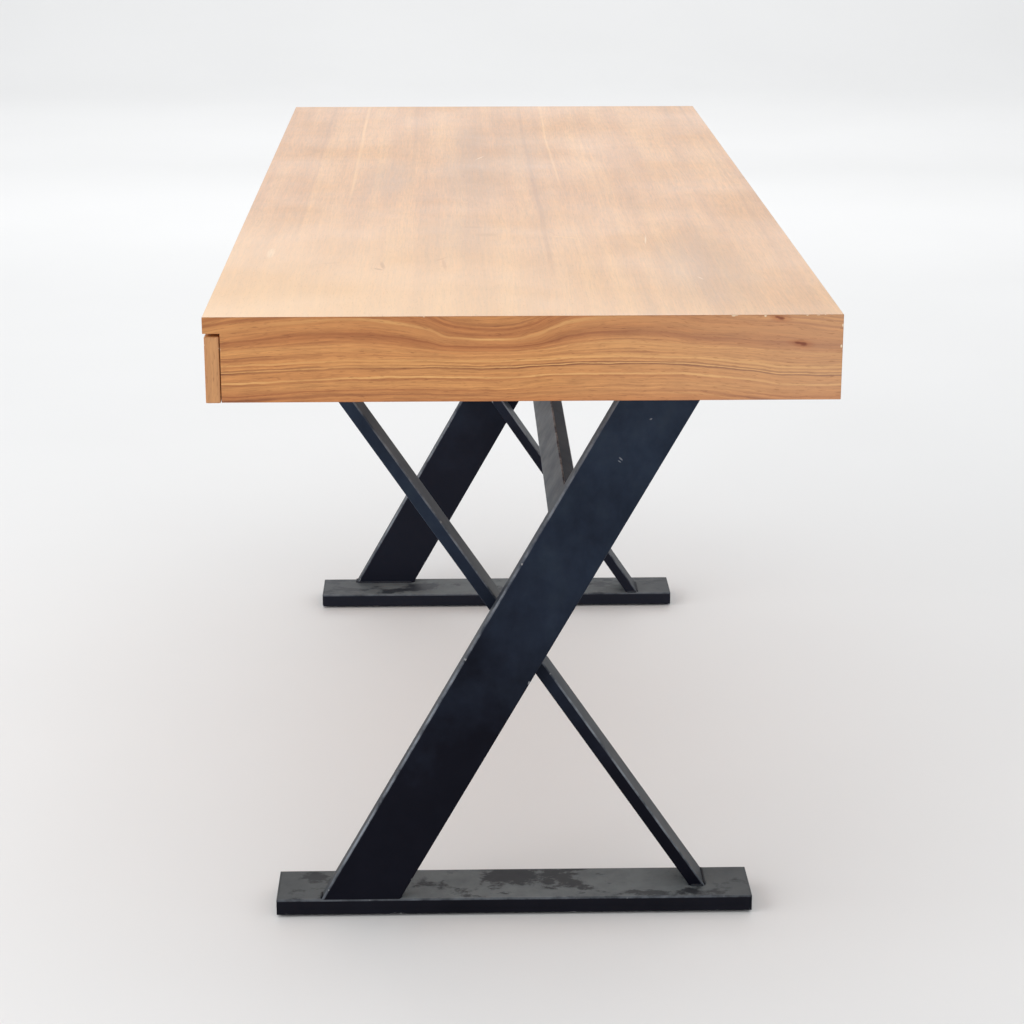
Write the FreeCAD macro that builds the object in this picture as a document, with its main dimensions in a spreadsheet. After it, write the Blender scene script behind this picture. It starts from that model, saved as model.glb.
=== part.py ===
import FreeCAD, Part
import math
import os

import Sketcher

# Writing desk: a shallow box top with three overlay drawers, carried by two welded X frames
# of flat steel tube that are joined by one stretcher. Sizes are in millimetres.
# +X runs along the desk, -Y is the drawer side, +Z is up, and the floor is Z = 0.

doc = FreeCAD.newDocument("WritingDesk")
sheet = doc.addObject("Spreadsheet::Sheet", "Dims")

dimensions = {
    "desk_length": 1600, "desk_depth": 644, "desk_height": 760,
    "board": 17, "box_height": 88, "floor_board": 15, "divider": 16,
    "front_thick": 15, "front_recess": 1.5, "front_gap": 3, "front_clear": 0.8, "front_drop": 0.5,
    "front_round": 1,
    "scoop_width": 130, "scoop_depth": 26, "scoop_round": 12,
    "box_side": 12, "box_side_height": 44, "box_lift": 6, "box_length": 540,
    "box_floor": 6, "box_floor_lift": 4, "box_groove": 5, "groove_clear": 0.1,
    "rail_thick": 12.7, "rail_steel": 1.2, "rail_height": 35, "rail_length": 500, "rail_step": 1.7,
    "rail_front": 4, "rail_play": 0.5,
    "tube_width": 80, "tube_thick": 20, "tube_wall": 2, "tube_round": 2.5, "tube_cap": 2,
    "foot_length": 556, "frame_reach": 594, "frame_shift": -3, "glide_height": 2.5, "glide_radius": 11,
    "glide_side": 22, "glide_end": 250,
    "foot_spread": 450, "rail_spread": 444,
    "wide_leg_cut": 91.85, "wide_leg_lean": 29.43,
    "narrow_leg_width": 15, "narrow_leg_deep": 50, "narrow_leg_cut": 18.15, "narrow_leg_set": 27,
    "narrow_leg_round": 2,
    "stretcher_height": 449.4, "stretcher_tall": 40, "stretcher_thick": 20, "stretcher_wall": 1.5,
    "stretcher_round": 2,
    "plate_thick": 5, "plate_long": 96, "plate_wide": 44, "plate_round": 6, "plate_bolt": 36,
    "bolt_radius": 3, "bolt_hole": 3.05, "bolt_head": 5.5, "bolt_head_thick": 3.2, "bolt_bite": 12,
    "pilot_extra": 1,
    "screw_radius": 2, "screw_hole": 2.05, "screw_head": 4, "screw_head_thick": 2, "screw_bite": 9,
    "screw_across": 180, "screw_low": -3, "screw_high": 13,
}
for row, (alias, number) in enumerate(dimensions.items(), start=1):
    sheet.set("A%d" % row, alias)
    sheet.set("B%d" % row, str(number))
    sheet.setAlias("B%d" % row, alias)
doc.recompute()


def size(formula):
    """Number that a formula in the sheet's names gives."""
    answer = sheet.evalExpression(formula)
    return float(getattr(answer, "Value", answer))


# Formulas that several pieces share.
underside = "(Dims.desk_height - Dims.box_height)"
inside = "(Dims.desk_length - 2 * Dims.board)"
bay = "((Dims.desk_length - 2 * Dims.board - 2 * Dims.divider) / 3)"
carcassFront = "(-Dims.desk_depth / 2 + Dims.front_recess + Dims.front_thick + Dims.front_clear)"
carcassBack = "(Dims.desk_depth / 2 - Dims.board)"
carcassLength = "(%s - %s)" % (carcassBack, carcassFront)
carcassMiddle = "((%s + %s) / 2)" % (carcassBack, carcassFront)
bayFloor = "(%s + Dims.floor_board)" % underside
bayHeight = "(Dims.box_height - Dims.board - Dims.floor_board)"
footTop = "(Dims.glide_height + Dims.tube_thick)"
railBottom = "(%s - Dims.tube_thick)" % underside
frameMiddle = "(Dims.frame_reach - Dims.tube_width / 2)"
legRise = "(%s - %s)" % (railBottom, footTop)
legSpread = "((Dims.foot_spread + Dims.rail_spread) / 2)"


class Piece:
    """One sub-part: a body with its own label and a placement that the sheet drives."""

    def __init__(self, label, x="0", y="0", z="0", lean=0.0):
        self.body = doc.addObject("PartDesign::Body", label)
        self.body.Label = label
        self.body.AllowCompound = True
        self.body.Placement.Rotation = FreeCAD.Rotation(FreeCAD.Vector(1, 0, 0), lean)
        for axis, formula in zip("xyz", (x, y, z)):
            self.body.setExpression("Placement.Base." + axis, formula)
        self.count = 0

    def sketch(self, plane, height=None):
        """New sketch on one of the body's own origin planes, or lifted off it by a formula."""
        self.count += 1
        name = "%s_sketch_%d" % (self.body.Name, self.count)
        drawing = self.body.newObject("Sketcher::SketchObject", name)
        planes = self.body.Origin.OriginFeatures
        support = [item for item in planes if item.Role == plane][0]
        drawing.AttachmentSupport = [(support, "")]
        drawing.MapMode = "FlatFace"
        if height:
            drawing.setExpression("AttachmentOffset.Base.z", height)
        doc.recompute()
        return drawing

    def feature(self, kind):
        self.count += 1
        return self.body.newObject("PartDesign::" + kind, "%s_%s_%d" % (self.body.Name, kind, self.count))

    def pad(self, drawing, length, middle=True, reverse=False, along=None):
        item = self.feature("Pad")
        item.Profile = drawing
        item.Midplane = middle
        item.Reversed = reverse
        item.setExpression("Length", length)
        if along:
            item.UseCustomVector = True
            item.Direction = along
            item.AlongSketchNormal = True
        return self.finish(item, drawing)

    def pocket(self, drawing, length, reverse=False, middle=False):
        before = self.body.Shape.Volume
        item = self.feature("Pocket")
        item.Profile = drawing
        item.Midplane = middle
        item.Reversed = reverse
        item.setExpression("Length", length)
        self.finish(item, drawing)
        if item.Shape.Volume > before - 0.01:
            raise RuntimeError("%s removes nothing" % item.Name)
        return item

    def finish(self, item, drawing=None):
        if drawing:
            drawing.Visibility = False
        doc.recompute()
        return item

    def dress(self, kind, radius, wanted):
        """Fillet or chamfer every edge of the tip for which wanted(edge) is true."""
        tip = self.body.Tip
        names = ["Edge%d" % (i + 1) for i, edge in enumerate(tip.Shape.Edges) if wanted(edge)]
        item = self.feature(kind)
        item.Base = (tip, names)
        item.setExpression("Radius" if kind == "Fillet" else "Size", radius)
        return self.finish(item)


def bind(drawing, constraint, formula, name):
    index = drawing.addConstraint(constraint)
    drawing.renameConstraint(index, name)
    drawing.setExpression("Constraints." + name, formula)


def outline(drawing, corners, tag):
    """Closed outline whose corners are pairs of formulas, each held from the sketch origin."""
    points = [FreeCAD.Vector(size(u), size(v), 0) for u, v in corners]
    first = drawing.GeometryCount
    last = first + len(points) - 1
    for i, point in enumerate(points):
        drawing.addGeometry(Part.LineSegment(point, points[(i + 1) % len(points)]), False)
    for i in range(len(points)):
        following = first if first + i == last else first + i + 1
        drawing.addConstraint(Sketcher.Constraint("Coincident", first + i, 2, following, 1))
    for i, ((u, v), point) in enumerate(zip(corners, points)):
        hold(drawing, first + i, 1, u, v, point, "%s%d" % (tag, i))


def hold(drawing, item, end, u, v, point, name):
    """Fix a point of the sketch at a pair of formulas measured from the origin."""
    for kind, formula, number in (("DistanceX", u, point.x), ("DistanceY", v, point.y)):
        if abs(number) < 1e-9:
            axis = -2 if kind == "DistanceX" else -1
            drawing.addConstraint(Sketcher.Constraint("PointOnObject", item, end, axis))
        else:
            bind(drawing, Sketcher.Constraint(kind, -1, 1, item, end, number), formula, name + kind[-1])


def rectangle(drawing, width, height, tag, u="0", v="0"):
    sides = [(-1, -1), (1, -1), (1, 1), (-1, 1)]
    corners = []
    for a, b in sides:
        corners.append(("%s + %d * (%s) / 2" % (u, a, width), "%s + %d * (%s) / 2" % (v, b, height)))
    outline(drawing, corners, tag)


def circles(drawing, centres, radius, tag):
    for i, (u, v) in enumerate(centres):
        point = FreeCAD.Vector(size(u), size(v), 0)
        item = drawing.addGeometry(Part.Circle(point, FreeCAD.Vector(0, 0, 1), size(radius)), False)
        hold(drawing, item, 3, u, v, point, "%s%d" % (tag, i))
        bind(drawing, Sketcher.Constraint("Radius", item, size(radius)), radius, "%s%dR" % (tag, i))


def runs(edge, direction):
    """Whether a straight edge lies along a direction."""
    if edge.Curve.TypeId != "Part::GeomLine":
        return False
    return edge.tangentAt(edge.FirstParameter).cross(FreeCAD.Vector(*direction)).Length < 1e-6


def board(label, plane, width, height, thick, x, y, z):
    """Plain flat board, drawn on a plane and given its thickness about its middle."""
    piece = Piece(label, x, y, z)
    drawing = piece.sketch(plane)
    rectangle(drawing, width, height, "edge")
    piece.pad(drawing, thick)
    return piece


def tube(label, plane, width, height, wall, corner, length, x, y, z, lean=0.0):
    """Straight rectangular steel tube with rounded outer corners."""
    piece = Piece(label, x, y, z, lean)
    drawing = piece.sketch(plane)
    rectangle(drawing, width, height, "outer")
    rectangle(drawing, "%s - 2 * %s" % (width, wall), "%s - 2 * %s" % (height, wall), "inner")
    piece.pad(drawing, length)
    direction = {"XZ_Plane": (0, 1, 0), "YZ_Plane": (1, 0, 0)}[plane]
    reach = math.hypot(size(width), size(height)) / 2 - 0.1

    def outside(edge):
        middle = edge.valueAt(edge.FirstParameter)
        offset = middle - FreeCAD.Vector(*direction) * middle.dot(FreeCAD.Vector(*direction))
        return runs(edge, direction) and offset.Length > reach

    piece.dress("Fillet", corner, outside)
    return piece


def leg(label, deep, cut, wallCut, corner, run, x, y):
    """Leaning tube: a level section swept up a slope, so both ends are cut level."""
    piece = Piece(label, x, y, footTop)
    drawing = piece.sketch("XY_Plane")
    rectangle(drawing, deep, cut, "outer")
    rectangle(drawing, "%s - 2 * Dims.tube_wall" % deep, "%s - 2 * %s" % (cut, wallCut), "inner")
    along = FreeCAD.Vector(0, size(run), size(legRise))
    piece.pad(drawing, legRise, middle=False, along=along)
    half = size(deep) / 2 - 0.1
    reach = size(cut) / 2 - 0.1

    def outside(edge):
        start = edge.valueAt(edge.FirstParameter)
        swing = start.y - start.z * along.y / along.z
        return runs(edge, along.normalize()) and abs(start.x) > half and abs(swing) > reach

    piece.dress("Fillet", corner, outside)
    return piece


def screws(label, plane, centres, shank, shankLength, head, headThick, x, y, z, lean=0.0, turned=False):
    """Group of identical screws: round heads on one side of a plane, shanks on the other."""
    piece = Piece(label, x, y, z, lean)
    heads = piece.sketch(plane)
    circles(heads, centres, head, "head")
    piece.pad(heads, headThick, middle=False, reverse=not turned)
    shanks = piece.sketch(plane)
    circles(shanks, centres, shank, "shank")
    piece.pad(shanks, shankLength, middle=False, reverse=turned)
    return piece


# --- Box top -------------------------------------------------------------------------------------

# The top board's ends are mitred to the end boards, so the two veneers run over one edge.
piece = Piece("top_panel", z="Dims.desk_height")
drawing = piece.sketch("XZ_Plane")
outline(drawing, [
    ("-Dims.desk_length / 2", "0"),
    ("-Dims.desk_length / 2 + Dims.board", "-Dims.board"),
    ("Dims.desk_length / 2 - Dims.board", "-Dims.board"),
    ("Dims.desk_length / 2", "0"),
], "edge")
piece.pad(drawing, "Dims.desk_depth")

# Each end board is notched at the lower front corner, where the end of a drawer front shows.
for side, way in (("right", 1), ("left", -1)):
    piece = Piece(side + "_end_panel", "%d * (Dims.desk_length - Dims.board) / 2" % way, z=underside)
    drawing = piece.sketch("YZ_Plane")
    outline(drawing, [
        (carcassFront, "0"),
        ("Dims.desk_depth / 2", "0"),
        ("Dims.desk_depth / 2", "Dims.box_height"),
        ("-Dims.desk_depth / 2", "Dims.box_height"),
        ("-Dims.desk_depth / 2", "Dims.box_height - Dims.board"),
        (carcassFront, "Dims.box_height - Dims.board"),
    ], "edge")
    piece.pad(drawing, "Dims.board")
    drawing = piece.sketch("XZ_Plane")
    outline(drawing, [
        ("%d * Dims.board / 2" % -way, "Dims.box_height - Dims.board"),
        ("%d * Dims.board / 2" % way, "Dims.box_height"),
        ("%d * Dims.board / 2" % -way, "Dims.box_height"),
    ], "mitre")
    piece.pocket(drawing, "2 * Dims.desk_depth", middle=True)

board("back_panel", "XZ_Plane", inside, "Dims.box_height - Dims.board", "Dims.board",
      "0", "(Dims.desk_depth - Dims.board) / 2", "%s + (Dims.box_height - Dims.board) / 2" % underside)

# Floor of the box, with a finger scoop in its front edge under each drawer.
piece = board("bottom_panel", "XY_Plane", inside, carcassLength, "Dims.floor_board",
              "0", carcassMiddle, "%s + Dims.floor_board / 2" % underside)
drawing = piece.sketch("XY_Plane")
bayCentres = {"left": "-(%s + Dims.divider)" % bay, "centre": "0", "right": "(%s + Dims.divider)" % bay}
frontEdge = "-%s / 2" % carcassLength
for name, centre in bayCentres.items():
    rectangle(drawing, "Dims.scoop_width", "Dims.scoop_depth", name, centre,
              "%s + Dims.scoop_depth / 2" % frontEdge)
piece.pocket(drawing, "2 * Dims.floor_board", middle=True)
scoopBack = size(frontEdge) + size("Dims.scoop_depth")


def scoopCorner(edge):
    start = edge.valueAt(edge.FirstParameter)
    return runs(edge, (0, 0, 1)) and abs(start.y - scoopBack) < 0.1


piece.dress("Fillet", "Dims.scoop_round", scoopCorner)
boltLines = ["-252", "-92", "68", "253"]
boltSpots = [(frameMiddle, "Dims.frame_shift + %s" % line) for line in boltLines]
boltSpots += [("-" + u, v) for u, v in boltSpots]
drawing = piece.sketch("XY_Plane", "-Dims.floor_board / 2")
circles(drawing, [(u, "%s - %s" % (v, carcassMiddle)) for u, v in boltSpots], "Dims.bolt_hole", "pilot")
piece.pocket(drawing, "Dims.bolt_bite + Dims.pilot_extra", reverse=True)

for side, way in (("right", 1), ("left", -1)):
    board(side + "_divider", "YZ_Plane", carcassLength, bayHeight, "Dims.divider",
          "%d * (%s + Dims.divider) / 2" % (way, bay), carcassMiddle, "%s + %s / 2" % (bayFloor, bayHeight))

# --- Drawers -------------------------------------------------------------------------------------

frontWidth = "((Dims.desk_length - 2 * Dims.front_gap) / 3)"
frontHeight = "(Dims.box_height - Dims.board - Dims.front_gap + Dims.front_drop)"
frontMiddle = "(%s - Dims.front_drop + %s / 2)" % (underside, frontHeight)
frontBack = "(-Dims.desk_depth / 2 + Dims.front_recess + Dims.front_thick)"
boxWidth = "(%s - 2 * Dims.rail_thick)" % bay
boxBottom = "(%s + Dims.box_lift)" % bayFloor
boxMiddle = "(%s + Dims.box_side_height / 2)" % boxBottom
boxFloorLow = "(%s + Dims.box_floor_lift)" % boxBottom
boxFloorTop = "(%s + Dims.box_floor)" % boxFloorLow
innerWidth = "(%s - 2 * Dims.box_side)" % boxWidth
sideLength = "(Dims.box_length - Dims.box_side)"
screwRows = ("Dims.screw_low", "Dims.screw_high")
screwSpots = [("%d * Dims.screw_across" % way, row) for way in (-1, 1) for row in screwRows]
backHeight = "(Dims.box_side_height - Dims.box_floor_lift - Dims.box_floor)"


def groove(piece, plane, lift, length, u="0"):
    """Slot for the drawer's floor, cut into the face that lies at a formula off the plane."""
    drawing = piece.sketch(plane, lift)
    rectangle(drawing, length, "Dims.box_floor + Dims.groove_clear", "slot", u,
              "-Dims.box_side_height / 2 + Dims.box_floor_lift + Dims.box_floor / 2")
    return drawing


for name, centre in bayCentres.items():
    stem = name + "_drawer_"
    frontCentre = {"left": "-1", "centre": "0", "right": "1"}[name] + " * (%s + Dims.front_gap)" % frontWidth
    piece = board(stem + "front", "XZ_Plane", frontWidth, frontHeight, "Dims.front_thick",
                  frontCentre, "%s - Dims.front_thick / 2" % frontBack, frontMiddle)
    piece.dress("Fillet", "Dims.front_round", lambda edge: True)
    drawing = piece.sketch("XZ_Plane", "-Dims.front_thick / 2")
    spots = [("%s + %s - %s" % (u, centre, frontCentre), "%s + %s - %s" % (v, boxMiddle, frontMiddle))
             for u, v in screwSpots]
    circles(drawing, spots, "Dims.screw_hole", "pilot")
    piece.pocket(drawing, "Dims.screw_bite + Dims.pilot_extra", reverse=True)

    piece = board(stem + "inner_front", "XZ_Plane", boxWidth, "Dims.box_side_height", "Dims.box_side",
                  centre, "%s + Dims.box_side / 2" % frontBack, boxMiddle)
    drawing = piece.sketch("XZ_Plane")
    circles(drawing, screwSpots, "Dims.screw_hole", "hole")
    piece.pocket(drawing, "2 * Dims.box_side", middle=True)
    drawing = groove(piece, "XZ_Plane", "-Dims.box_side / 2", "%s + 2 * Dims.box_groove" % innerWidth)
    piece.pocket(drawing, "Dims.box_groove", reverse=True)

    sideMiddle = "(%s + Dims.box_side + %s / 2)" % (frontBack, sideLength)
    for side, way in (("right", 1), ("left", -1)):
        piece = board(stem + side + "_side", "YZ_Plane", sideLength, "Dims.box_side_height", "Dims.box_side",
                      "%s + %d * (%s - Dims.box_side) / 2" % (centre, way, boxWidth), sideMiddle, boxMiddle)
        drawing = groove(piece, "YZ_Plane", "%d * Dims.box_side / 2" % -way, sideLength)
        piece.pocket(drawing, "Dims.box_groove", reverse=way > 0)

    board(stem + "back", "XZ_Plane", innerWidth, backHeight, "Dims.box_side", centre,
          "%s + Dims.box_length - Dims.box_side / 2" % frontBack, "%s + %s / 2" % (boxFloorTop, backHeight))
    floorFront = "(%s + Dims.box_side - Dims.box_groove)" % frontBack
    floorLength = "(Dims.box_length - Dims.box_side + Dims.box_groove)"
    board(stem + "bottom", "XY_Plane", "%s + 2 * Dims.box_groove - 2 * Dims.groove_clear" % innerWidth,
          "%s - Dims.groove_clear" % floorLength, "Dims.box_floor",
          centre, "%s + Dims.groove_clear + (%s - Dims.groove_clear) / 2" % (floorFront, floorLength),
          "%s + Dims.box_floor / 2" % boxFloorLow)
    screws(stem + "front_screws", "XZ_Plane", screwSpots, "Dims.screw_radius",
           "Dims.box_side + Dims.screw_bite", "Dims.screw_head", "Dims.screw_head_thick",
           centre, "%s + Dims.box_side" % frontBack, boxMiddle)

# --- Telescopic drawer rails ---------------------------------------------------------------------

railMiddle = "(%s + Dims.rail_front + Dims.rail_length / 2)" % carcassFront


def channel(drawing, web, mouth, half, way, u, tag):
    """C section: its web stands at one distance from the bay wall and its lips reach to another."""
    steel = "Dims.rail_steel"
    turn = 1 if size(mouth) > size(web) else -1
    profile = [
        (web, "-(%s)" % half), (mouth, "-(%s)" % half), (mouth, "-(%s) + %s" % (half, steel)),
        ("%s + %d * %s" % (web, turn, steel), "-(%s) + %s" % (half, steel)),
        ("%s + %d * %s" % (web, turn, steel), "(%s) - %s" % (half, steel)),
        (mouth, "(%s) - %s" % (half, steel)), (mouth, half), (web, half),
    ]
    outline(drawing, [("%s - %d * (%s)" % (u, way, a), b) for a, b in profile], tag)


def rails(label, centres, web, mouth, half):
    """One node of drawer rail members: a pair of them for each bay centre given."""
    piece = Piece(label, y=railMiddle, z=boxMiddle)
    drawing = piece.sketch("XZ_Plane")
    for i, centre in enumerate(centres):
        for side, way in (("r", 1), ("l", -1)):
            wall = "%s + %d * %s / 2" % (centre, way, bay)
            channel(drawing, web, mouth, half, way, wall, "%s%d" % (side, i))
    piece.pad(drawing, "Dims.rail_length")
    return piece


half = "Dims.rail_height / 2"
rails("cabinet_rails", list(bayCentres.values()), "0", "Dims.rail_thick - 2 * Dims.rail_step", half)
for name, centre in bayCentres.items():
    rails(name + "_drawer_middle_rails", [centre], "Dims.rail_step", "Dims.rail_thick - Dims.rail_step",
          "%s - Dims.rail_step" % half)
    rails(name + "_drawer_inner_rails", [centre], "Dims.rail_thick", "2 * Dims.rail_step + Dims.rail_play",
          "%s - 2 * Dims.rail_step" % half)

# --- Steel X frames ------------------------------------------------------------------------------

tubeLength = "(Dims.foot_length - 2 * Dims.tube_cap)"
wallCut = "Dims.tube_wall * Dims.wide_leg_cut / Dims.tube_width"
narrowWallCut = "Dims.tube_wall * Dims.narrow_leg_cut / Dims.narrow_leg_width"
wideRun = "(%s - Dims.wide_leg_cut)" % legSpread
narrowRun = "(%s - Dims.narrow_leg_cut)" % legSpread
wideFoot = "(Dims.frame_shift - Dims.foot_spread / 2 + Dims.wide_leg_cut / 2)"
narrowFoot = "(Dims.frame_shift + Dims.foot_spread / 2 - Dims.narrow_leg_cut / 2)"
stretcherRise = "(Dims.stretcher_height - %s)" % footTop
stretcherLine = "(%s + %s * %s / %s)" % (wideFoot, wideRun, stretcherRise, legRise)
legInner = "(Dims.frame_reach - Dims.tube_thick)"
lean = -size("Dims.wide_leg_lean")
slopeUp = math.cos(math.radians(lean))
slopeAcross = -math.sin(math.radians(lean))

for side, way in (("right", 1), ("left", -1)):
    middle = "%d * %s" % (way, frameMiddle)
    tube(side + "_foot", "XZ_Plane", "Dims.tube_width", "Dims.tube_thick", "Dims.tube_wall",
         "Dims.tube_round", tubeLength, middle, "Dims.frame_shift", "Dims.glide_height + Dims.tube_thick / 2")
    rail = tube(side + "_top_rail", "XZ_Plane", "Dims.tube_width", "Dims.tube_thick", "Dims.tube_wall",
                "Dims.tube_round", tubeLength, middle, "Dims.frame_shift",
                "%s + Dims.tube_thick / 2" % railBottom)
    drawing = rail.sketch("XY_Plane")
    circles(drawing, [("0", line) for line in boltLines], "Dims.bolt_hole", "hole")
    rail.pocket(drawing, "2 * Dims.tube_thick", middle=True)

    # Welded plates close the open ends of the foot and of the top rail.
    piece = Piece(side + "_tube_end_plates", middle, "Dims.frame_shift", "0")
    for end in (-1, 1):
        drawing = piece.sketch("XZ_Plane", "%d * Dims.foot_length / 2" % end)
        for tag, lift in (("foot", "Dims.glide_height"), ("rail", railBottom)):
            centre = "%s + Dims.tube_thick / 2" % lift
            rectangle(drawing, "Dims.tube_width", "Dims.tube_thick", tag, "0", centre)
        piece.pad(drawing, "Dims.tube_cap", middle=False, reverse=end > 0)
    piece.dress("Fillet", "Dims.tube_round - 0.5", lambda edge: runs(edge, (0, 1, 0)))

    wide = leg(side + "_wide_leg", "Dims.tube_thick", "Dims.wide_leg_cut", wallCut, "Dims.tube_round",
               wideRun, "%d * (Dims.frame_reach - Dims.tube_thick / 2)" % way, wideFoot)
    drawing = wide.sketch("YZ_Plane", "%d * Dims.tube_thick / 2" % -way)
    spots = []
    for step in (-1, 1):
        rise = "(%s + %d * Dims.plate_bolt * %.6f)" % (stretcherRise, step, slopeUp)
        spots.append(("%s * %s / %s" % (wideRun, rise, legRise), rise))
    circles(drawing, spots, "Dims.bolt_hole", "hole")
    wide.pocket(drawing, "Dims.tube_wall", reverse=way > 0)

    leg(side + "_narrow_leg", "Dims.narrow_leg_deep", "Dims.narrow_leg_cut", narrowWallCut,
        "Dims.narrow_leg_round", "-" + narrowRun,
        "%d * (Dims.frame_reach - Dims.narrow_leg_set - Dims.narrow_leg_deep / 2)" % way, narrowFoot)

    screws(side + "_frame_bolts", "XY_Plane", [("0", line) for line in boltLines], "Dims.bolt_radius",
           "Dims.tube_thick + Dims.bolt_bite", "Dims.bolt_head", "Dims.bolt_head_thick",
           middle, "Dims.frame_shift", railBottom)

    piece = Piece(side + "_glides", middle, "Dims.frame_shift", "0")
    drawing = piece.sketch("XY_Plane")
    spots = [("%d * Dims.glide_side" % a, "%d * Dims.glide_end" % b) for a in (-1, 1) for b in (-1, 1)]
    circles(drawing, spots, "Dims.glide_radius", "pad")
    piece.pad(drawing, "Dims.glide_height", middle=False)

# --- Stretcher -----------------------------------------------------------------------------------

# It leans with the wide legs and is bolted to their inner faces through welded plates.
tube("stretcher", "YZ_Plane", "Dims.stretcher_thick", "Dims.stretcher_tall", "Dims.stretcher_wall",
     "Dims.stretcher_round", "2 * (%s - Dims.plate_thick)" % legInner,
     "0", stretcherLine, "Dims.stretcher_height", lean)
for side, way in (("right", 1), ("left", -1)):
    piece = Piece(side + "_stretcher_plate", "%d * (%s - Dims.plate_thick / 2)" % (way, legInner),
                  stretcherLine, "Dims.stretcher_height", lean)
    drawing = piece.sketch("YZ_Plane")
    rectangle(drawing, "Dims.plate_wide", "Dims.plate_long", "edge")
    spots = [("0", "%d * Dims.plate_bolt" % step) for step in (-1, 1)]
    circles(drawing, spots, "Dims.bolt_hole", "hole")
    piece.pad(drawing, "Dims.plate_thick")
    corner = math.hypot(size("Dims.plate_wide"), size("Dims.plate_long")) / 2 - 0.1
    piece.dress("Fillet", "Dims.plate_round", lambda edge: runs(edge, (1, 0, 0))
                and math.hypot(edge.valueAt(0).y, edge.valueAt(0).z) > corner)
    screws(side + "_stretcher_bolts", "YZ_Plane", spots, "Dims.bolt_radius",
           "Dims.plate_thick + Dims.tube_wall + Dims.bolt_head_thick",
           "Dims.bolt_head", "Dims.bolt_head_thick",
           "%d * (%s - Dims.plate_thick)" % (way, legInner), stretcherLine, "Dims.stretcher_height", lean,
           turned=way < 0)

# --- Check and write -----------------------------------------------------------------------------

doc.recompute()
for item in doc.Objects:
    if {"Invalid", "Error"} & set(item.State):
        raise RuntimeError("%s: %s" % (item.Name, item.State))
os.makedirs("parts", exist_ok=True)
for item in doc.Objects:
    if item.TypeId != "PartDesign::Body":
        continue
    if item.Shape.isNull() or not item.Shape.isValid():
        raise RuntimeError("%s has no valid shape" % item.Label)
    item.Shape.exportStep(os.path.join("parts", item.Label + ".step"))
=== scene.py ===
import bpy
import bmesh
import math
from mathutils import Matrix, Vector


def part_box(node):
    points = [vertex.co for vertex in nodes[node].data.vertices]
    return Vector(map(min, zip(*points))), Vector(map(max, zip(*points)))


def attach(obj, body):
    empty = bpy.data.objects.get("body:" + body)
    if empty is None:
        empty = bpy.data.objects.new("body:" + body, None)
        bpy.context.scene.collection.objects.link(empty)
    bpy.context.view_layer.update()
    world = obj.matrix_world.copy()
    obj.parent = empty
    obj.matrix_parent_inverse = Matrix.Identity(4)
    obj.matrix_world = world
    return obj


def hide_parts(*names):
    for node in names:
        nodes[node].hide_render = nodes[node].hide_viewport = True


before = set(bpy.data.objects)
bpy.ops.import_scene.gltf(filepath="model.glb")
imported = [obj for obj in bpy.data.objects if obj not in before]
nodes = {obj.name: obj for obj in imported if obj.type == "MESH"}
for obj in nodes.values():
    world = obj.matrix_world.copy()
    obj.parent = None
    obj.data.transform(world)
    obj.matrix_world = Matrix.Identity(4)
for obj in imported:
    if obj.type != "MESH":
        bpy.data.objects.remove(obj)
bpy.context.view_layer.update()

# camera, lights and the floor the desk stands on
stageLook = {
    "cameraPlace": (3.217, -0.0723, 1.2841),
    "cameraTurn": (0.02508, 0.29288, 0.00063),  # yaw, dip, roll in radians
    "lens": 86.6,
    "floorColor": (0.75, 0.748, 0.745),
    "floor": {  # in metres, the turn in degrees
        "front": 9, "halfWidth": 12, "run": 16, "sweepRadius": 3, "sweepTurn": 80,
    },
    "skyColor": (0.97, 0.985, 1, 1),
    "skyStrength": 0.90,
    "softboxes": {  # place, aimed at, width, height, power
        "overheadSoftbox": ((0.3, 0.1, 3.4), (0, 0, 0.7), 3.4, 2.6, 15),
        "backSoftbox": ((-4.4, 0.2, 2.15), (0.2, 0, 0.76), 5.2, 1.7, 39),
        "sideFill": ((1.8, -3.8, 2.1), (0, 0, 0.5), 4.4, 3.0, 84),
        "backdropWash": ((-4.8, 0, 2.7), (-8.4, 0, 0.5), 6.0, 1.0, 60),
    },
}


def aimCamera(look):
    yaw, dip, roll = look["cameraTurn"]
    ahead = Vector((-math.cos(yaw), math.sin(yaw), 0))
    side = Vector((math.sin(yaw), math.cos(yaw), 0))
    lookAt = ahead * math.cos(dip) + Vector((0, 0, -math.sin(dip)))
    up = ahead * math.sin(dip) + Vector((0, 0, math.cos(dip)))
    right = side * math.cos(roll) + up * math.sin(roll)
    up = up * math.cos(roll) - side * math.sin(roll)
    data = bpy.data.cameras.new("camera")
    data.lens = look["lens"]
    data.sensor_width = 36
    data.clip_end = 100
    camera = bpy.data.objects.new("camera", data)
    turn = Matrix((right, up, -lookAt)).transposed()
    camera.matrix_world = Matrix.Translation(look["cameraPlace"]) @ turn.to_4x4()
    bpy.context.scene.collection.objects.link(camera)
    bpy.context.scene.camera = camera


def hangSoftbox(name, place, target, width, height, power):
    data = bpy.data.lights.new(name, "AREA")
    data.shape = "RECTANGLE"
    data.size = width
    data.size_y = height
    data.energy = power
    lamp = bpy.data.objects.new(name, data)
    lamp.location = place
    lamp.visible_camera = False
    lamp.rotation_euler = (Vector(target) - Vector(place)).to_track_quat("-Z", "Y").to_euler()
    bpy.context.scene.collection.objects.link(lamp)


def lightStage(look):
    for name, setting in look["softboxes"].items():
        hangSoftbox(name, *setting)
    world = bpy.data.worlds.new("studio")
    world.use_nodes = True
    sky = world.node_tree.nodes["Background"]
    sky.inputs["Color"].default_value = look["skyColor"]
    sky.inputs["Strength"].default_value = look["skyStrength"]
    bpy.context.scene.world = world
    bpy.context.scene.view_settings.view_transform = "Standard"


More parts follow.
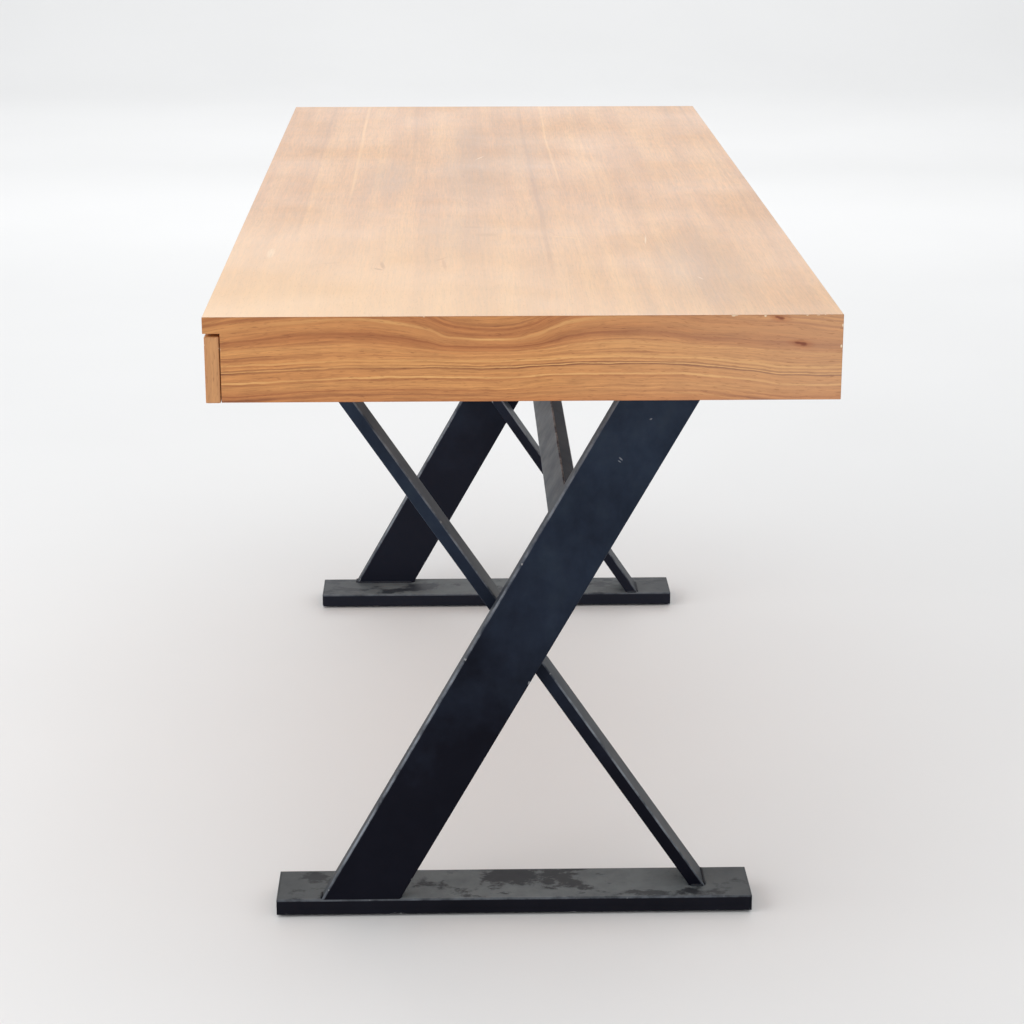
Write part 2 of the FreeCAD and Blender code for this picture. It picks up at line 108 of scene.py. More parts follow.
aimCamera(stageLook)
lightStage(stageLook)
print("camera and softboxes set")


# small helpers for wiring shader nodes
def freshMaterial(name):
    material = bpy.data.materials.new(name)
    material.use_nodes = True
    tree = material.node_tree
    tree.nodes.clear()
    out = tree.nodes.new("ShaderNodeOutputMaterial")
    shader = tree.nodes.new("ShaderNodeBsdfPrincipled")
    tree.links.new(shader.outputs[0], out.inputs[0])
    return material, tree, shader


def feed(tree, socket, value):
    if isinstance(value, bpy.types.NodeSocket):
        tree.links.new(value, socket)
    elif value is not None:
        socket.default_value = value


def maths(tree, operation, a, b=None):
    node = tree.nodes.new("ShaderNodeMath")
    node.operation = operation
    for socket, value in zip(node.inputs, (a, b)):
        feed(tree, socket, value)
    return node.outputs[0]


def times(tree, first, *others):
    for other in others:
        first = maths(tree, "MULTIPLY", first, other)
    return first


def plus(tree, a, b):
    return maths(tree, "ADD", a, b)


def minus(tree, a, b):
    return maths(tree, "SUBTRACT", a, b)


def tint(tree, mode, factor, a, b):
    node = tree.nodes.new("ShaderNodeMix")
    node.data_type = "RGBA"
    node.blend_type = mode
    # the mix node keeps one set of sockets for each kind of value: 6 and 7 are its colours
    feed(tree, node.inputs[0], factor)
    feed(tree, node.inputs[6], a)
    feed(tree, node.inputs[7], b if isinstance(b, bpy.types.NodeSocket) else (*b, 1))
    return node.outputs[2]


def glaze(tree, color, mask, strength, tone, mode="MIX"):
    # lays a tone over a colour where the mask is light
    return tint(tree, mode, times(tree, mask, strength), color, tone)


def split(tree, vector):
    node = tree.nodes.new("ShaderNodeSeparateXYZ")
    tree.links.new(vector, node.inputs[0])
    return node.outputs


def objectPlace(tree):
    coords = tree.nodes.new("ShaderNodeTexCoord")
    return coords.outputs["Object"]


def faceDirection(tree):
    geometry = tree.nodes.new("ShaderNodeNewGeometry")
    return split(tree, geometry.outputs["True Normal"])


def joined(tree, x, y, z):
    node = tree.nodes.new("ShaderNodeCombineXYZ")
    for socket, value in zip(node.inputs, (x, y, z)):
        feed(tree, socket, value)
    return node.outputs[0]


def noiseAt(tree, vector, detail=2.0, roughness=0.5, distortion=0.0):
    node = tree.nodes.new("ShaderNodeTexNoise")
    feed(tree, node.inputs["Vector"], vector)
    node.inputs["Scale"].default_value = 1.0
    node.inputs["Detail"].default_value = detail
    node.inputs["Roughness"].default_value = roughness
    node.inputs["Distortion"].default_value = distortion
    return node.outputs[0]


def evenNoise(tree, scale, detail=2.0, roughness=0.5, distortion=0.0):
    # noise over a whole piece; scale is one number, or one for each axis
    node = tree.nodes.new("ShaderNodeMapping")
    node.inputs["Scale"].default_value = scale if isinstance(scale, tuple) else (scale, scale, scale)
    tree.links.new(objectPlace(tree), node.inputs["Vector"])
    return noiseAt(tree, node.outputs[0], detail, roughness, distortion)


def drawnOutNoise(tree, along, across, length, width, seed, detail=2.0, roughness=0.5):
    # noise drawn out along the grain: the lower length is against width, the longer its streaks
    place = joined(tree, times(tree, along, length), times(tree, across, width), seed)
    return noiseAt(tree, place, detail, roughness)


def ramp(tree, factor, stops):
    node = tree.nodes.new("ShaderNodeValToRGB")
    elements = node.color_ramp.elements
    while len(elements) < len(stops):
        elements.new(0.5)
    for element, (place, color) in zip(elements, stops):
        element.position = place
        element.color = (*color, 1)
    feed(tree, node.inputs[0], factor)
    return node.outputs[0]


def between(tree, value, low, high, toLow=0.0, toHigh=1.0, smooth=False):
    node = tree.nodes.new("ShaderNodeMapRange")
    node.interpolation_type = "SMOOTHSTEP" if smooth else "LINEAR"
    node.clamp = True
    feed(tree, node.inputs[0], value)
    for socket, number in zip(node.inputs[1:5], (low, high, toLow, toHigh)):
        socket.default_value = number
    return node.outputs[0]


def wireUp(tree, shader, color, roughness, height, strength, distance):
    # joins a finish to its shader: colour, roughness and a fine relief
    feed(tree, shader.inputs["Base Color"], color)
    feed(tree, shader.inputs["Roughness"], roughness)
    node = tree.nodes.new("ShaderNodeBump")
    node.inputs["Strength"].default_value = strength
    node.inputs["Distance"].default_value = distance
    tree.links.new(height, node.inputs["Height"])
    tree.links.new(node.outputs[0], shader.inputs["Normal"])


def swatch(red, green, blue):
    # a colour read off a paint chip, 0 to 255
    def linear(part):
        part /= 255
        return part / 12.92 if part <= 0.04045 else ((part + 0.055) / 1.055) ** 2.4
    return (linear(red), linear(green), linear(blue))


def drawnCurve(tree, value, reach, span, points):
    # a drawn wave from -reach to reach: points are (0 to 1 along it, metres up), at most span up or down
    node = tree.nodes.new("ShaderNodeFloatCurve")
    curve = node.mapping.curves[0]
    while len(curve.points) < len(points):
        curve.points.new(0.5, 0.5)
    for point, (along, height) in zip(curve.points, points):
        point.location = (along, 0.5 + 0.5 * height / span)
    node.mapping.update()
    tree.links.new(between(tree, value, -reach, reach), node.inputs["Value"])
    return times(tree, minus(tree, node.outputs[0], 0.5), 2 * span)


def rimOf(tree):
    # 1 on the softened arrises of a piece, 0 on its faces
    node = tree.nodes.new("ShaderNodeAttribute")
    node.attribute_name = "rim"
    return node.outputs["Fac"]


# wood
veneerTones = {
    "deep": swatch(146, 80, 40),
    "brown": swatch(180, 113, 62),
    "honey": swatch(205, 144, 86),
    "gold": swatch(228, 172, 106),
    "line": swatch(120, 64, 34),
    "bare": swatch(236, 214, 182),
}

# the grain of an end board: two waves along the desk's depth, and what is drawn on the right one
endFigure = {
    "reach": 0.322, "swing": 0.03,
    "lowWave": [(0.0, -0.0070), (0.1, -0.0042), (0.19, -0.0014), (0.25, -0.0002), (0.35, -0.0004),
                (0.475, -0.0010), (0.55, 0.0018), (0.625, 0.0027), (0.7, 0.0025), (0.75, 0.0020),
                (0.8, -0.0008), (0.85, -0.0044), (0.925, -0.0102), (1.0, -0.0100)],
    "highWave": [(0.0, -0.014), (0.1, -0.005), (0.165, -0.0016), (0.225, 0), (0.28, -0.002),
                 (0.345, -0.009), (0.4, -0.021), (0.465, -0.0235), (0.51, -0.0185), (0.55, -0.008),
                 (0.58, -0.0025), (0.65, 0.0013), (0.725, -0.001), (0.775, -0.006), (0.85, -0.009),
                 (1.0, -0.018)],
    "lowTop": 0.711, "highStart": 0.741,  # the low wave rules up to here, the high one from here
    "faceAt": 0.8,  # x of the right end face, where the lines are drawn
    "lines": [  # height, width, how strong, tone
        (0.7068, 0.0016, 0.80, "line"), (0.7092, 0.0013, 0.62, "line"), (0.7080, 0.0009, 0.8, "gold"),
        (0.6972, 0.0015, 1.0, "gold"), (0.6950, 0.0018, 0.4, "deep"), (0.7426, 0.0020, 0.6, "deep"),
        (0.7400, 0.0036, 0.3, "deep"), (0.7150, 0.0013, 0.65, "gold"), (0.7128, 0.0012, 0.4, "deep"),
        (0.7205, 0.0018, 0.4, "deep"), (0.7232, 0.0012, 0.35, "line"), (0.7530, 0.0050, 0.35, "honey"),
        (0.7640, 0.0026, 0.5, "deep"), (0.7700, 0.0018, 0.45, "deep"), (0.7745, 0.0018, 0.35, "line"),
        (0.6842, 0.0014, 0.5, "deep"), (0.6795, 0.0018, 0.55, "line"), (0.6765, 0.0012, 0.5, "gold"),
        (0.7310, 0.0016, 0.35, "gold"), (0.7345, 0.0012, 0.3, "deep"),
    ],
    "crest": (0.7572, 0.0030, 0.85, "gold"),  # the pale line round the arch and the U, gone towards both ends
    "knots": [  # y, z, half length, half height
        (0.2590, 0.7562, 0.0044, 0.0022), (0.2550, 0.7575, 0.0034, 0.0014),
        (0.2768, 0.7312, 0.0052, 0.0017), (0.2822, 0.7300, 0.0046, 0.0024),
    ],
    "chips": [  # the same four numbers
        (0.2105, 0.7592, 0.0027, 0.0010), (0.2130, 0.7596, 0.0030, 0.0006), (0.2428, 0.7590, 0.0016, 0.0013),
        (0.2850, 0.7595, 0.0016, 0.0007), (0.2960, 0.7596, 0.0022, 0.0005), (0.3212, 0.7490, 0.0009, 0.0021),
        (0.3204, 0.7275, 0.0012, 0.0021), (-0.1000, 0.7596, 0.0014, 0.0006),
    ],
    "rear": swatch(216, 176, 146), "front": (0.88, 0.80, 0.72),  # lighter towards the rear, darker towards the front
    "knotHalo": (0.80, 0.58, 0.46), "knotCore": swatch(116, 52, 28), "lowEdge": (0.80, 0.64, 0.60),
}

topFigure = {
    "pale": swatch(240, 196, 146), "cloud": swatch(150, 112, 92),
    "streaks": [  # y, width, strength, tone, x where it starts and where it is full
        (-0.2010, 0.0034, 0.72, "gold", 0.16, -0.02), (0.0700, 0.0026, 0.62, "gold", 0.05, -0.15),
        (0.0370, 0.0045, 0.42, "deep", 0.62, 0.50), (-0.1250, 0.0060, 0.28, "deep", 0.12, -0.02),
        (0.1230, 0.0035, 0.25, "deep", 0.60, 0.35), (-0.2550, 0.0050, 0.28, "deep", 0.5, 0.2),
        (0.2990, 0.0040, 0.3, "deep", 0.55, 0.3),
    ],
    "clouds": [  # x, y, half length, half width, strength
        (-0.09, -0.045, 0.24, 0.040, 0.42), (-0.07, -0.155, 0.15, 0.028, 0.4),
        (-0.44, -0.045, 0.12, 0.022, 0.45), (0.56, 0.205, 0.20, 0.050, 0.42),
        (0.34, -0.055, 0.15, 0.035, 0.28), (-0.30, 0.03, 0.25, 0.03, 0.3),
    ],
    "marks": [  # x, y, half length, half width, turn, tone, strength
        (0.530, -0.080, 0.042, 0.003, 0.05, "brown", 0.5), (0.500, -0.084, 0.018, 0.0026, -0.5, "brown", 0.5),
        (0.535, -0.148, 0.028, 0.0032, 0.1, "deep", 0.5), (0.556, -0.152, 0.010, 0.0040, 0.7, "deep", 0.55),
        (0.370, 0.065, 0.030, 0.0035, 1.1, "gold", 0.5), (0.340, 0.047, 0.026, 0.0022, 0.25, "brown", 0.45),
        (0.02, 0.222, 0.022, 0.0026, 0.1, "brown", 0.55), (-0.248, -0.031, 0.022, 0.0014, -0.35, "bare", 0.7),
        (0.385, 0.154, 0.034, 0.0012, -0.08, "bare", 0.6), (0.612, 0.196, 0.010, 0.0012, 0.3, "bare", 0.5),
        (0.460, -0.276, 0.036, 0.0055, 0.0, "bare", 0.35), (-0.085, -0.055, 0.020, 0.0022, 0.1, "deep", 0.45),
        (0.350, -0.030, 0.012, 0.0200, 0.2, "deep", 0.22), (0.300, -0.045, 0.010, 0.0160, -0.2, "deep", 0.22),
        (0.520, -0.205, 0.006, 0.0140, 0.3, "deep", 0.20), (0.060, 0.219, 0.028, 0.0020, 0.0, "brown", 0.45),
    ],
}


def grainAxes(tree, along):
    x, y, z = split(tree, objectPlace(tree))
    if along == "X":
        return x, plus(tree, y, z)
    if along == "Y":
        return y, plus(tree, x, z)
    return z, plus(tree, x, y)


def closeTo(tree, value, centre, width):
    gap = maths(tree, "ABSOLUTE", minus(tree, value, centre))
    return between(tree, gap, 0.15 * width, width, 1, 0, smooth=True)


def ovalMask(tree, first, second, spot):
    # a soft oval: its middle, its two half sizes and its turn
    middleA, middleB, long, wide, turn = spot
    a = minus(tree, first, middleA)
    b = minus(tree, second, middleB)
    cosine, sine = math.cos(turn), math.sin(turn)
    lengthwise = plus(tree, times(tree, a, cosine / long), times(tree, b, sine / long))
    sideways = minus(tree, times(tree, b, cosine / wide), times(tree, a, sine / wide))
    far = plus(tree, times(tree, lengthwise, lengthwise), times(tree, sideways, sideways))
    return between(tree, far, 0.0, 1.0, 1, 0, smooth=True)


# how each layer of grain shades the colour under it: place on the noise, tone
grainShades = {
    "late": [(0.0, (1, 1, 1)), (0.55, (0.95, 0.93, 0.91)), (0.86, (0.80, 0.74, 0.70)), (0.93, (1, 1, 1))],
    "streaks": [(0.28, (0.72, 0.66, 0.61)), (0.5, (0.97, 0.96, 0.95)), (0.72, (1.18, 1.16, 1.12))],
    "fibres": [(0.28, (0.70, 0.64, 0.60)), (0.52, (1, 1, 1)), (0.75, (1.18, 1.16, 1.13))],
    "feather": [(0.3, (0.74, 0.69, 0.65)), (0.5, (1, 1, 1)), (0.72, (1.14, 1.12, 1.1))],
    "shimmer": [(0.3, (0.86, 0.83, 0.81)), (0.7, (1.06, 1.06, 1.05))],
    "blush": [(0.32, (0.94, 0.80, 0.72)), (0.62, (1.03, 1.03, 1))],
}


def bentGrain(tree, u, v, level):
    # the grain of an end board follows its two drawn waves and trembles a little
    look = endFigure
    x, y, z = split(tree, objectPlace(tree))
    low = drawnCurve(tree, y, look["reach"], look["swing"], look["lowWave"])
    high = drawnCurve(tree, y, look["reach"], look["swing"], look["highWave"])
    part = between(tree, z, look["lowTop"], look["highStart"], smooth=True)
    bend = plus(tree, times(tree, part, minus(tree, high, low)), low)
    level = minus(tree, level, bend)
    tremble = drawnOutNoise(tree, u, v, 16, 70, 6.1, 3, 0.6)
    return plus(tree, level, times(tree, minus(tree, tremble, 0.5), 0.0045))


def endMarks(tree, color, u, level, streaks, unevenness):
    # the drawn lines, knots and chips of an end board, and how its colour drifts from front to rear
    look, tones = endFigure, veneerTones
    x, y, z = split(tree, objectPlace(tree))
    waver = times(tree, minus(tree, unevenness, 0.5), 0.0026)
    broken = between(tree, drawnOutNoise(tree, u, level, 9, 60, 3.3), 0.36, 0.56, 0.35, 1)
    height = minus(tree, plus(tree, level, waver), look["faceAt"])
    for place, width, strength, tone in look["lines"]:
        mask = times(tree, closeTo(tree, height, place, width), broken)
        color = glaze(tree, color, mask, strength, tones[tone])
    place, width, strength, tone = look["crest"]
    fade = times(tree, between(tree, y, 0.13, -0.01, 0.12, 1), between(tree, y, -0.30, -0.13, 0.4, 1))
    crest = times(tree, times(tree, closeTo(tree, height, place, width), broken), fade)
    color = glaze(tree, color, crest, strength, tones[tone])
    color = glaze(tree, color, between(tree, y, 0.02, 0.30), 0.30, look["rear"])
    color = glaze(tree, color, between(tree, y, 0.0, -0.30), 0.5, look["front"], "MULTIPLY")
    ragged = plus(tree, z, waver)
    rightEnd = between(tree, x, 0.70, 0.75)  # the left end board has none of these knots and chips
    for middleY, middleZ, long, tall in look["knots"]:
        halo = ovalMask(tree, y, ragged, (middleY, middleZ, long * 3.0, tall * 2.4, -0.1))
        core = ovalMask(tree, y, ragged, (middleY, middleZ, long, tall, -0.1))
        color = glaze(tree, color, times(tree, halo, rightEnd), 0.40, look["knotHalo"], "MULTIPLY")
        color = glaze(tree, color, times(tree, core, rightEnd), 0.80, look["knotCore"])
    crumbly = evenNoise(tree, 700, 2, 0.6)
    for middleY, middleZ, long, tall in look["chips"]:
        chip = times(tree, ovalMask(tree, y, z, (middleY, middleZ, long, tall, 0.0)), crumbly, rightEnd)
        color = tint(tree, "MIX", between(tree, chip, 0.14, 0.26, 0, 0.9), color, tones["bare"])
    foot = between(tree, plus(tree, z, times(tree, streaks, 0.010)), 0.692, 0.677)
    return glaze(tree, color, foot, 0.75, look["lowEdge"], "MULTIPLY")


def topMarks(tree, color, drift, streaks, fibres):
    # the streaks, cloudy patches and small marks of wear on the top board, under a painted glare that pales
    # its near front
    look, tones = topFigure, veneerTones
    x, y, z = split(tree, objectPlace(tree))
    # painted glare: the near front of the top is paled, standing in for light glancing off its lacquer
    pale = times(tree, between(tree, x, 0.1, 0.8), between(tree, y, 0.25, -0.25, 0.25, 1))
    color = glaze(tree, color, pale, 0.75, look["pale"])
    flow = plus(tree, y, times(tree, drift, 0.8))
    for place, width, strength, tone, start, full in look["streaks"]:
        mask = times(tree, closeTo(tree, flow, place, width), between(tree, x, start, full),
                     between(tree, streaks, 0.3, 0.6, 0.4, 1))
        color = glaze(tree, color, mask, strength, tones[tone])
    for middleX, middleY, long, wide, strength in look["clouds"]:
        mask = times(tree, ovalMask(tree, x, flow, (middleX, middleY, long * 1.3, wide * 1.4, 0.0)),
                     between(tree, streaks, 0.3, 0.62, 0.25, 1))
        color = glaze(tree, color, mask, strength, look["cloud"])
    for middleX, middleY, long, wide, turn, tone, strength in look["marks"]:
        mask = times(tree, ovalMask(tree, x, y, (middleX, middleY, long, wide, turn)),
                     between(tree, fibres, 0.35, 0.5, 0.5, 1))
        color = glaze(tree, color, mask, strength, tones[tone])
    return color


def veneer(name, along, seed, wander=0.016, contrast=1.0, roughness=0.40, figure=None, wash=None):
    # sliced veneer under satin lacquer: broad bands, streaks, fibres and open pores along one axis
    material, tree, shader = freshMaterial(name)
    tones = veneerTones
    u, v = grainAxes(tree, along)
    drift = times(tree, minus(tree, drawnOutNoise(tree, u, v, 1.5, 5.0, seed), 0.5), wander)
    level = plus(tree, v, drift)
    if figure == "end":
        level = bentGrain(tree, u, v, level)
    elif along == "X":
        ripple = drawnOutNoise(tree, u, v, 7.0, 9.0, seed + 7)
        level = plus(tree, level, times(tree, ripple, 0.005))

    def streaked(length, width, detail, rough, shift):
        return drawnOutNoise(tree, u, level, length, width, seed + shift, detail, rough)

    def shaded(layer, noise, strength):
        return tint(tree, "MULTIPLY", strength, color, ramp(tree, noise, grainShades[layer]))

    bands = streaked(1.3, 42, 2.0, 0.5, 1.3)
    streaks = streaked(4.0, 200, 4.0, 0.68, 2.1)
    fibres = streaked(22, 620, 3.0, 0.65, 3.7)
    pores = streaked(95, 820, 1.0, 0.5, 4.9)
    color = ramp(tree, bands, [(0.28, tones["deep"]), (0.42, tones["brown"]), (0.55, tones["honey"]),
                               (0.72, tones["gold"])])
    color = tint(tree, "MIX", 1 - 0.62 * contrast, color, tones["honey"])
    ring = maths(tree, "FRACT", plus(tree, times(tree, level, 62), times(tree, bands, 2.2)))
    color = shaded("late", ring, 0.34 * contrast)
    color = shaded("streaks", streaks, (0.45 if figure else 0.62) * contrast)
    color = shaded("fibres", fibres, 0.75)
    color = shaded("feather", streaked(34, 300, 4.0, 0.72, 6.3), 0.55)
    color = shaded("shimmer", drawnOutNoise(tree, u, v, 38, 9, seed + 5, 3, 0.6), 0.35)
    color = shaded("blush", drawnOutNoise(tree, u, v, 3.1, 17, seed + 9), 0.18 if figure == "top" else 0.45)
    if figure == "end":
        color = endMarks(tree, color, u, level, streaks, streaked(30, 120, 3.0, 0.6, 8.8))
    if figure == "top":
        color = topMarks(tree, color, drift, streaks, fibres)
    # a flat tone mixed over the grain; on the top board it is a painted sheen
    if wash:
        washDepth, washTone = wash
        color = tint(tree, "MIX", washDepth, color, washTone)

    poreMask = between(tree, pores, 0.63, 0.70)
    color = glaze(tree, color, poreMask, 0.18 if figure == "top" else 0.42, (0.50, 0.38, 0.31), "MULTIPLY")
    rim = rimOf(tree)
    color = glaze(tree, color, rim, 0.6, (0.72, 0.62, 0.55), "MULTIPLY")
    chips = times(tree, rim, between(tree, evenNoise(tree, 60, 3, 0.6), 0.66, 0.70))
    color = tint(tree, "MIX", chips, color, tones["bare"])
    worn = between(tree, evenNoise(tree, 5, 4, 0.6), 0.3, 0.7, roughness - 0.05, roughness + 0.06)
    sheen = plus(tree, worn, times(tree, fibres, 0.06))
    grain = minus(tree, times(tree, fibres, 0.6), poreMask)
    wireUp(tree, shader, color, sheen, grain, 0.22, 0.0004)
    shader.inputs["Specular IOR Level"].default_value = 0.5
    return material


# the top board's pale grey wash is a painted sheen, standing in for the glare off its lacquer
topVeneer = veneer("topVeneer", "X", 0.9, contrast=0.52, figure="top", wash=(0.26, swatch(192, 181, 156)))
endVeneer = veneer("endVeneer", "Y", 4.2, wander=0.004, contrast=0.9, figure="end")
frontVeneer = veneer("frontVeneer", "X", 7.7)
backVeneer = veneer("backVeneer", "X", 11.3)
uprightBand = veneer("uprightBand", "Z", 2.6, contrast=0.5, wash=(0.35, swatch(196, 152, 110)))
lengthBand = veneer("lengthBand", "X", 3.1, contrast=0.6)
depthBand = veneer("depthBand", "Y", 5.4, contrast=0.6)
underVeneer = veneer("underVeneer", "X", 13.1, contrast=0.5, roughness=0.55)
print("veneers mixed")

drawerTones = {
    "pale": swatch(222, 196, 158), "palest": swatch(232, 210, 176), "warm": swatch(206, 174, 132),
    "layer": swatch(150, 112, 76), "fleck": (0.78, 0.68, 0.56),
}


def birchPly(name):
    # drawer boxes: pale sanded ply, its layers showing where the cut edge faces up
    material, tree, shader = freshMaterial(name)
    tones = drawerTones
    x, y, z = split(tree, objectPlace(tree))
    nx, ny, nz = faceDirection(tree)
    side = plus(tree, x, z)
    soft = noiseAt(tree, joined(tree, times(tree, y, 2.2), times(tree, side, 90), times(tree, x, 3)), 3, 0.55)
    color = ramp(tree, soft, [(0.3, tones["warm"]), (0.6, tones["pale"]), (0.8, tones["palest"])])
    fleck = drawnOutNoise(tree, y, side, 60, 700, 0.4)
    color = tint(tree, "MULTIPLY", between(tree, fleck, 0.55, 0.7, 0, 0.5), color, tones["fleck"])
    layers = maths(tree, "FRACT", times(tree, plus(tree, x, y), 420))
    cut = times(tree, between(tree, nz, 0.9, 0.95), between(tree, layers, 0.5, 0.55))
    color = glaze(tree, color, cut, 0.55, tones["layer"])
    wireUp(tree, shader, color, between(tree, soft, 0.3, 0.7, 0.46, 0.6), fleck, 0.15, 0.0003)
    return material


drawerPly = birchPly("drawerPly")


# metal and small fittings
steelTones = {
    "low": (0.0031, 0.0033, 0.0068), "high": (0.0064, 0.0068, 0.0124),  # near the floor: darkest, palest
    # painted light: lighter, bluer tones for the tubes' upper part, standing in for light and reflection on
    # it
    "upperDeep": (0.0250, 0.0385, 0.0655), "upper": (0.0340, 0.0520, 0.0880),
    "upperPale": (0.0440, 0.0660, 0.1010),
    # painted light: the flatter tone the left frame is lit to
    "farther": (0.020, 0.023, 0.036),  # towards the left frame
    # worn: the pale of the knocks on the outer face, also used for the painted highlight along the arrises
    "worn": (0.240, 0.262, 0.300), "bareSteel": (0.27, 0.275, 0.285),
    # the dust's tone, and the pale of the painted sheen on sloping faces
    "dust": (0.238, 0.258, 0.262), "haze": (0.152, 0.170, 0.184),
}

# knocks on the outer face of the right wide leg: y, z, half length, half height, turn
frameScuffs = [(0.1140, 0.5535, 0.0034, 0.0011, -0.75), (0.1125, 0.5505, 0.0026, 0.0008, -0.6),
               (0.1466, 0.5988, 0.0020, 0.0011, 0.4)]


def powderCoat(name, dusty, slopeSheen, gloss):
    # satin powder coat over welded tube, dusty where it faces up, with painted light: lighter and bluer
    # higher up, the left frame drawn to a flatter tone, painted highlights along its upward arrises and a
    # painted sheen on its sloping faces
    material, tree, shader = freshMaterial(name)
    tones = steelTones
    x, y, z = split(tree, objectPlace(tree))
    nx, ny, nz = faceDirection(tree)
    rim = rimOf(tree)
    cloud = evenNoise(tree, 8, 5, 0.62)
    mottle = evenNoise(tree, (30, 30, 22), 4, 0.62)
    scuffNoise = evenNoise(tree, 26, 4, 0.7)

    color = ramp(tree, cloud, [(0.3, tones["low"]), (0.7, tones["high"])])
    # painted light: the tube turns lighter and bluer towards the top, standing in for light and reflection
    # falling on its upper part
    upper = ramp(tree, mottle, [(0.3, tones["upperDeep"]), (0.5, tones["upper"]), (0.72, tones["upperPale"])])
    height = plus(tree, z, times(tree, minus(tree, cloud, 0.5), 0.5))
    color = tint(tree, "MIX", between(tree, height, 0.22, 0.74, 0, 0.85), color, upper)
    # painted light: the left frame is drawn towards one flatter tone, as light falls on it differently from
    # the right frame
    color = tint(tree, "MIX", between(tree, x, 0.2, -0.55, 0, 0.42), color, tones["farther"])

    # painted highlights along the arrises, as if the light caught them, weakest by the floor and none where
    # they face down, with a few nicks to the metal
    arrisHighlight = times(tree, rim, between(tree, scuffNoise, 0.36, 0.60, 0.15, 1.0),
                   between(tree, z, 0.03, 0.10, 0.42, 1.0), between(tree, nz, -0.05, 0.18, 0, 0.9))
    color = tint(tree, "MIX", arrisHighlight, color, tones["worn"])
    nicks = times(tree, rim, between(tree, evenNoise(tree, 90), 0.70, 0.73))
    color = tint(tree, "MIX", nicks, color, tones["bareSteel"])

    # painted sheen on faces that slope, standing in for the bright room they reflect; dust on faces that lie
    # flat
    slope = times(tree, between(tree, nz, 0.22, 0.46), between(tree, nz, 0.80, 0.60))
    haze = times(tree, slope, between(tree, scuffNoise, 0.3, 0.65, 0.30 * slopeSheen, 0.62 * slopeSheen))
    color = tint(tree, "MIX", haze, color, tones["haze"])
    patches = evenNoise(tree, (20, 13, 20), 6, 0.66, 0.15)
    middle = closeTo(tree, y, 0.035, 0.14)  # most of the bare patches lie by the middle of the foot
    bare = minus(tree, patches, times(tree, middle, 0.075))
    grime = times(tree, between(tree, bare, 0.40, 0.46, 0.20, 1),
                  between(tree, scuffNoise, 0.25, 0.6, 0.65, 1))
    ends = between(tree, maths(tree, "ABSOLUTE", y), 0.15, 0.26, 1, 0.58)
    up = between(tree, nz, 0.75, 0.95)
    film = times(tree, times(tree, up, grime), times(tree, ends, dusty))
    color = tint(tree, "MIX", film, color, tones["dust"])

    facing = times(tree, between(tree, nx, 0.9, 0.99), between(tree, x, 0.55, 0.58))
    for spot in frameScuffs:
        color = glaze(tree, color, times(tree, ovalMask(tree, y, z, spot), facing), 0.8, tones["worn"])
    rough = plus(tree, between(tree, cloud, 0.3, 0.7, 0.38, 0.50), times(tree, film, 0.5))
    wireUp(tree, shader, color, rough, evenNoise(tree, 420), 0.16, 0.0003)
    shader.inputs["Specular IOR Level"].default_value = gloss
    return material


def bareMetal(name, tone, roughness, brushed="Y"):
    material, tree, shader = freshMaterial(name)
    stretch = {"X": (12, 900, 900), "Y": (900, 12, 900), "Z": (900, 900, 12)}[brushed]
    lines = evenNoise(tree, stretch, 3, 0.6)
    spangle = evenNoise(tree, 55, 3, 0.5)
    dark = tuple(part * 0.72 for part in tone)
    color = ramp(tree, spangle, [(0.3, dark), (0.7, tone)])
    color = tint(tree, "MULTIPLY", between(tree, lines, 0.3, 0.7, 0.0, 0.35), color, (0.62, 0.62, 0.64))
    shader.inputs["Metallic"].default_value = 1.0
    rough = between(tree, lines, 0.3, 0.7, roughness - 0.05, roughness + 0.1)
    wireUp(tree, shader, color, rough, lines, 0.08, 0.0002)
    return material


def mouldedPlastic(name, tone, roughness):
    material, tree, shader = freshMaterial(name)
    scuff = evenNoise(tree, 40, 4, 0.6)
    pale = tuple(min(1.0, part * 1.5 + 0.01) for part in tone)
    color = ramp(tree, scuff, [(0.35, tone), (0.75, pale)])
    rough = between(tree, scuff, 0.3, 0.7, roughness - 0.06, roughness + 0.1)
    wireUp(tree, shader, color, rough, evenNoise(tree, 700, 3), 0.2, 0.0003)
    return material


blackSteel = powderCoat("blackSteel", dusty=0.12, slopeSheen=0.50, gloss=0.05)
# a strong painted sheen on the sloping faces, for the stretcher's lit upper face
slopeSheenSteel = powderCoat("slopeSheenSteel", dusty=0.08, slopeSheen=1.45, gloss=0.015)
scuffedSteel = powderCoat("scuffedSteel", dusty=0.62, slopeSheen=0.66, gloss=0.10)
zincSteel = bareMetal("zincSteel", (0.62, 0.63, 0.65), 0.3)
boltSteel = bareMetal("boltSteel", (0.10, 0.10, 0.11), 0.38, "X")
screwSteel = bareMetal("screwSteel", (0.60, 0.58, 0.52), 0.28, "Z")
gliderPlastic = mouldedPlastic("gliderPlastic", (0.02, 0.02, 0.021), 0.5)
softBumper = mouldedPlastic("softBumper", (0.55, 0.54, 0.51), 0.3)
print("finishes mixed")


# shaping helpers
def boxShape(low, high):
    shape = bmesh.new()
    bmesh.ops.create_cube(shape, size=1)
    low, high = Vector(low), Vector(high)
    bmesh.ops.scale(shape, vec=high - low, verts=shape.verts)
    bmesh.ops.translate(shape, vec=(low + high) / 2, verts=shape.verts)
    return shape


def rounded(shape, edges, width, segments=2):
    # softens edges and marks the new faces, so a finish can wear them and paint highlights on them
    rim = shape.faces.layers.float.get("rim") or shape.faces.layers.float.new("rim")
    made = bmesh.ops.bevel(shape, geom=list(edges), offset=width, offset_type="OFFSET", segments=segments,
                           profile=0.5, affect="EDGES", material=-1)
    for face in made["faces"]:
        face[rim] = 1.0


